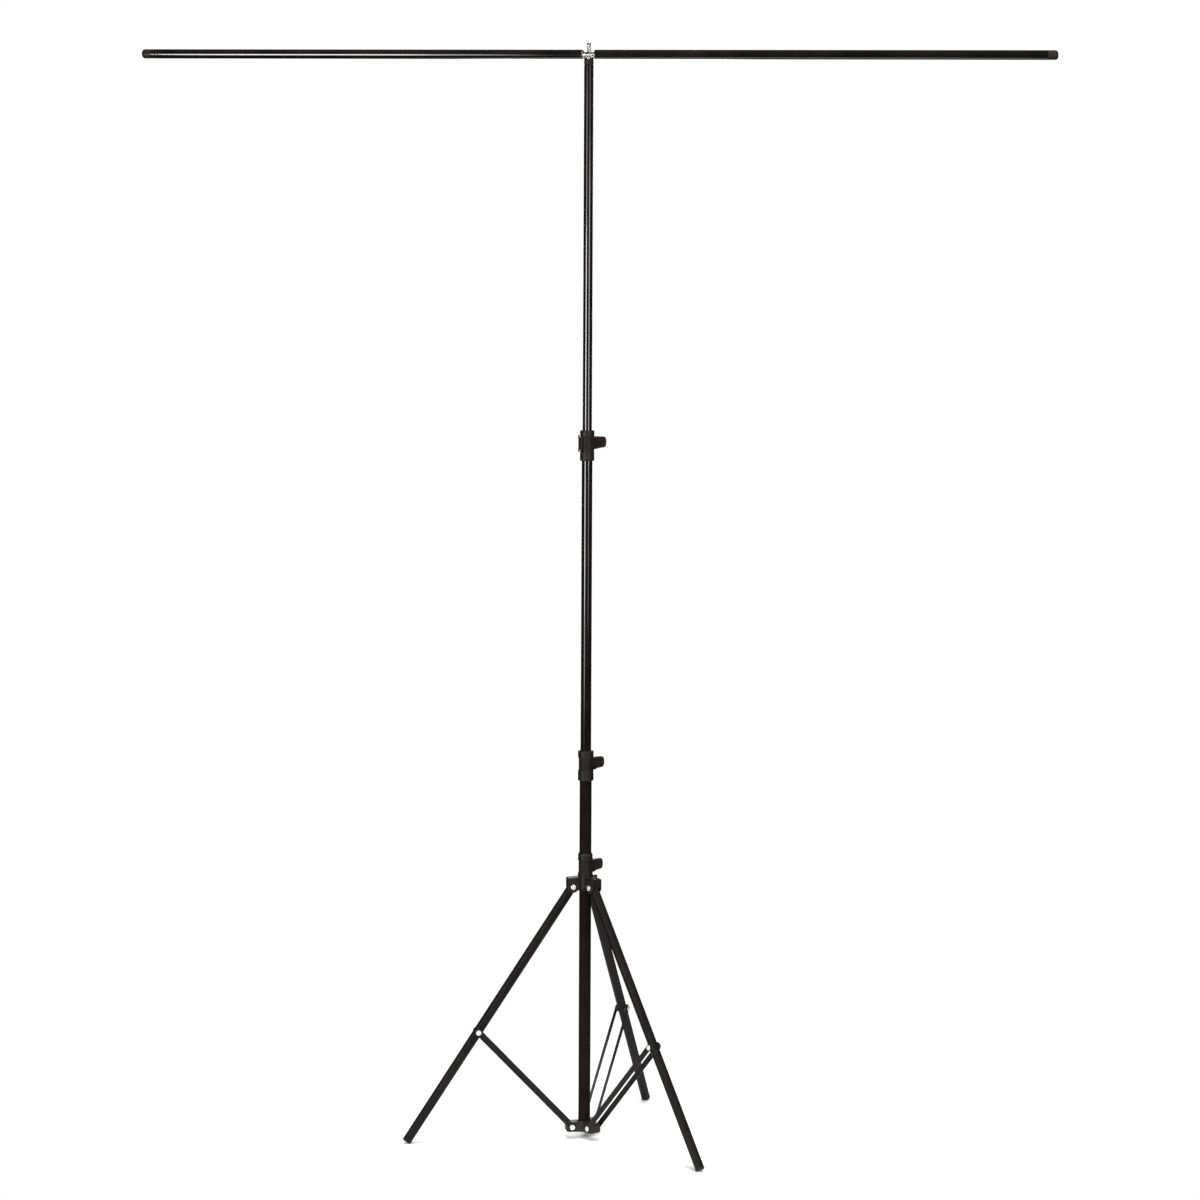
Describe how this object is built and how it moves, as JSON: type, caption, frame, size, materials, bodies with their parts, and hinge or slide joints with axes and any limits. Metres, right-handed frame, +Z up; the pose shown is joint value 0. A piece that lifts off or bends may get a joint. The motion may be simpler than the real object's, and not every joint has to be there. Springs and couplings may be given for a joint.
{
  "type": "backdrop stand",
  "caption": "Folding-leg stand with a telescoping column, thumb-knob locks and a T-shaped crossbar in halves, for hanging a photographic backdrop.",
  "frame": {"origin": "on the floor, on the column's axis, under the middle of the crossbar, with the stand opened", "axes": "+Z up along the column, -X towards the left leg; the crossbar is turned 22.5 degrees clockwise from X seen from above"},
  "size_m": [1.8524, 0.7802, 2.3758],
  "materials": {
    "gloss_black": "gloss black coating",
    "satin_black": "satin black coating",
    "black_steel": "satin black paint",
    "plastic": "moulded, fine satin texture",
    "nylon": "moulded, dull",
    "rubber": "dull",
    "nickel": "bright plated",
    "chrome": "polished plating",
    "zinc": "zinc plated",
    "brass": "turned"
  },
  "bodies": {
    "base": {"lower_hub": "plastic", "base_tube": "satin_black", "lower_collar": "plastic", "lower_insert": "brass"},
    "sliding_hub": {"upper_hub": "plastic", "hub_insert": "brass", "left_hub_rivet": "nickel", "rear_hub_rivet": "nickel", "front_hub_rivet": "nickel"},
    "left_leg_body": {"left_leg": "satin_black", "left_foot": "rubber", "left_leg_rivet": "nickel", "left_washer_a": "nylon", "left_washer_b": "nylon"},
    "left_strut_body": {"left_strut_a": "black_steel", "left_strut_b": "black_steel", "left_strut_rivet_a": "nickel", "left_strut_rivet_b": "nickel"},
    "rear_leg_body": {"rear_leg": "satin_black", "rear_foot": "rubber", "rear_leg_rivet": "nickel", "rear_washer_a": "nylon", "rear_washer_b": "nylon"},
    "rear_strut_body": {"rear_strut_a": "black_steel", "rear_strut_b": "black_steel", "rear_strut_rivet_a": "nickel", "rear_strut_rivet_b": "nickel"},
    "front_leg_body": {"front_leg": "satin_black", "front_foot": "rubber", "front_leg_rivet": "nickel", "front_washer_a": "nylon", "front_washer_b": "nylon"},
    "front_strut_body": {"front_strut_a": "black_steel", "front_strut_b": "black_steel", "front_strut_rivet_a": "nickel", "front_strut_rivet_b": "nickel"},
    "mid_section": {"mid_tube": "gloss_black", "mid_tube_bush": "nylon", "upper_collar": "plastic", "upper_insert": "brass"},
    "top_section": {"top_tube": "gloss_black", "top_tube_bush": "nylon", "head_plug": "plastic", "head_stud": "chrome"},
    "crossbar_centre": {"crossbar_connector": "chrome"},
    "left_arm_body": {"left_arm": "gloss_black", "left_arm_cap": "plastic"},
    "right_arm_body": {"right_arm": "gloss_black", "right_arm_cap": "plastic"},
    "hub_pad_body": {"hub_pad": "brass"},
    "hub_knob_body": {"hub_knob": "plastic", "hub_screw": "zinc"},
    "lower_pad_body": {"lower_pad": "brass"},
    "lower_knob_body": {"lower_knob": "plastic", "lower_screw": "zinc"},
    "upper_pad_body": {"upper_pad": "brass"},
    "upper_knob_body": {"upper_knob": "plastic", "upper_screw": "zinc"}
  },
  "joints": [
    {"name": "hub_slide", "type": "slide", "parent": "base", "child": "sliding_hub", "axis": [0, 0, 1], "range_m": [0, 0.1448]},
    {"name": "left_leg_hinge", "type": "hinge", "parent": "sliding_hub", "child": "left_leg_body", "pos_m": [-0.028, 0, 0.5585], "axis": [0, -1, 0], "range_deg": [0, 33.25]},
    {"name": "left_strut_hinge", "type": "hinge", "parent": "left_leg_body", "child": "left_strut_body", "pos_m": [-0.23483, 0, 0.24306], "axis": [0, -1, 0], "range_deg": [-77, 0]},
    {"name": "rear_leg_hinge", "type": "hinge", "parent": "sliding_hub", "child": "rear_leg_body", "pos_m": [0.014, 0.02425, 0.5585], "axis": [-0.866, 0.5, 0], "range_deg": [0, 33.25]},
    {"name": "rear_strut_hinge", "type": "hinge", "parent": "rear_leg_body", "child": "rear_strut_body", "pos_m": [0.11742, 0.20337, 0.24306], "axis": [-0.866, 0.5, 0], "range_deg": [-77, 0]},
    {"name": "front_leg_hinge", "type": "hinge", "parent": "sliding_hub", "child": "front_leg_body", "pos_m": [0.014, -0.02425, 0.5585], "axis": [0.866, 0.5, 0], "range_deg": [0, 33.25]},
    {"name": "front_strut_hinge", "type": "hinge", "parent": "front_leg_body", "child": "front_strut_body", "pos_m": [0.11742, -0.20337, 0.24306], "axis": [0.866, 0.5, 0], "range_deg": [-77, 0]},
    {"name": "mid_tube_slide", "type": "slide", "parent": "base", "child": "mid_section", "axis": [0, 0, 1], "range_m": [-0.626, 0]},
    {"name": "top_tube_slide", "type": "slide", "parent": "mid_section", "child": "top_section", "axis": [0, 0, 1], "range_m": [-0.67, 0]},
    {"name": "crossbar_swivel", "type": "hinge", "parent": "top_section", "child": "crossbar_centre", "pos_m": [0, 0, 2.351], "axis": [0, 0, 1], "continuous": true},
    {"name": "right_arm_slide", "type": "slide", "parent": "crossbar_centre", "child": "right_arm_body", "axis": [0.9239, -0.3827, 0], "range_m": [0, 0.06]},
    {"name": "left_arm_slide", "type": "slide", "parent": "crossbar_centre", "child": "left_arm_body", "axis": [-0.9239, 0.3827, 0], "range_m": [0, 0.06]},
    {"name": "hub_pad_slide", "type": "slide", "parent": "sliding_hub", "child": "hub_pad_body", "axis": [0.7716, 0.6361, 0], "range_m": [0, 0.00375]},
    {"name": "hub_knob_turn", "type": "hinge", "parent": "hub_pad_body", "child": "hub_knob_body", "pos_m": [0.02315, 0.01908, 0.6021], "axis": [0.7716, 0.6361, 0], "range_deg": [0, 1080]},
    {"name": "lower_pad_slide", "type": "slide", "parent": "base", "child": "lower_pad_body", "axis": [0.8039, 0.5948, 0], "range_m": [0, 0.00375]},
    {"name": "lower_knob_turn", "type": "hinge", "parent": "lower_pad_body", "child": "lower_knob_body", "pos_m": [0.02412, 0.01784, 0.8266], "axis": [0.8039, 0.5948, 0], "range_deg": [0, 1080]},
    {"name": "upper_pad_slide", "type": "slide", "parent": "mid_section", "child": "upper_pad_body", "axis": [0.8241, 0.5664, 0], "range_m": [0, 0.00375]},
    {"name": "upper_knob_turn", "type": "hinge", "parent": "upper_pad_body", "child": "upper_knob_body", "pos_m": [0.02472, 0.01699, 1.5231], "axis": [0.8241, 0.5664, 0], "range_deg": [0, 1080]}
  ],
  "couplings": [
    {"joint": "left_leg_hinge", "follows": "hub_slide", "rad_per_m": 4.008},
    {"joint": "left_strut_hinge", "follows": "hub_slide", "rad_per_m": -9.2813},
    {"joint": "rear_leg_hinge", "follows": "hub_slide", "rad_per_m": 4.008},
    {"joint": "rear_strut_hinge", "follows": "hub_slide", "rad_per_m": -9.2813},
    {"joint": "front_leg_hinge", "follows": "hub_slide", "rad_per_m": 4.008},
    {"joint": "front_strut_hinge", "follows": "hub_slide", "rad_per_m": -9.2813},
    {"joint": "hub_pad_slide", "follows": "hub_knob_turn", "m_per_rad": 0.00019894},
    {"joint": "lower_pad_slide", "follows": "lower_knob_turn", "m_per_rad": 0.00019894},
    {"joint": "upper_pad_slide", "follows": "upper_knob_turn", "m_per_rad": 0.00019894}
  ]
}
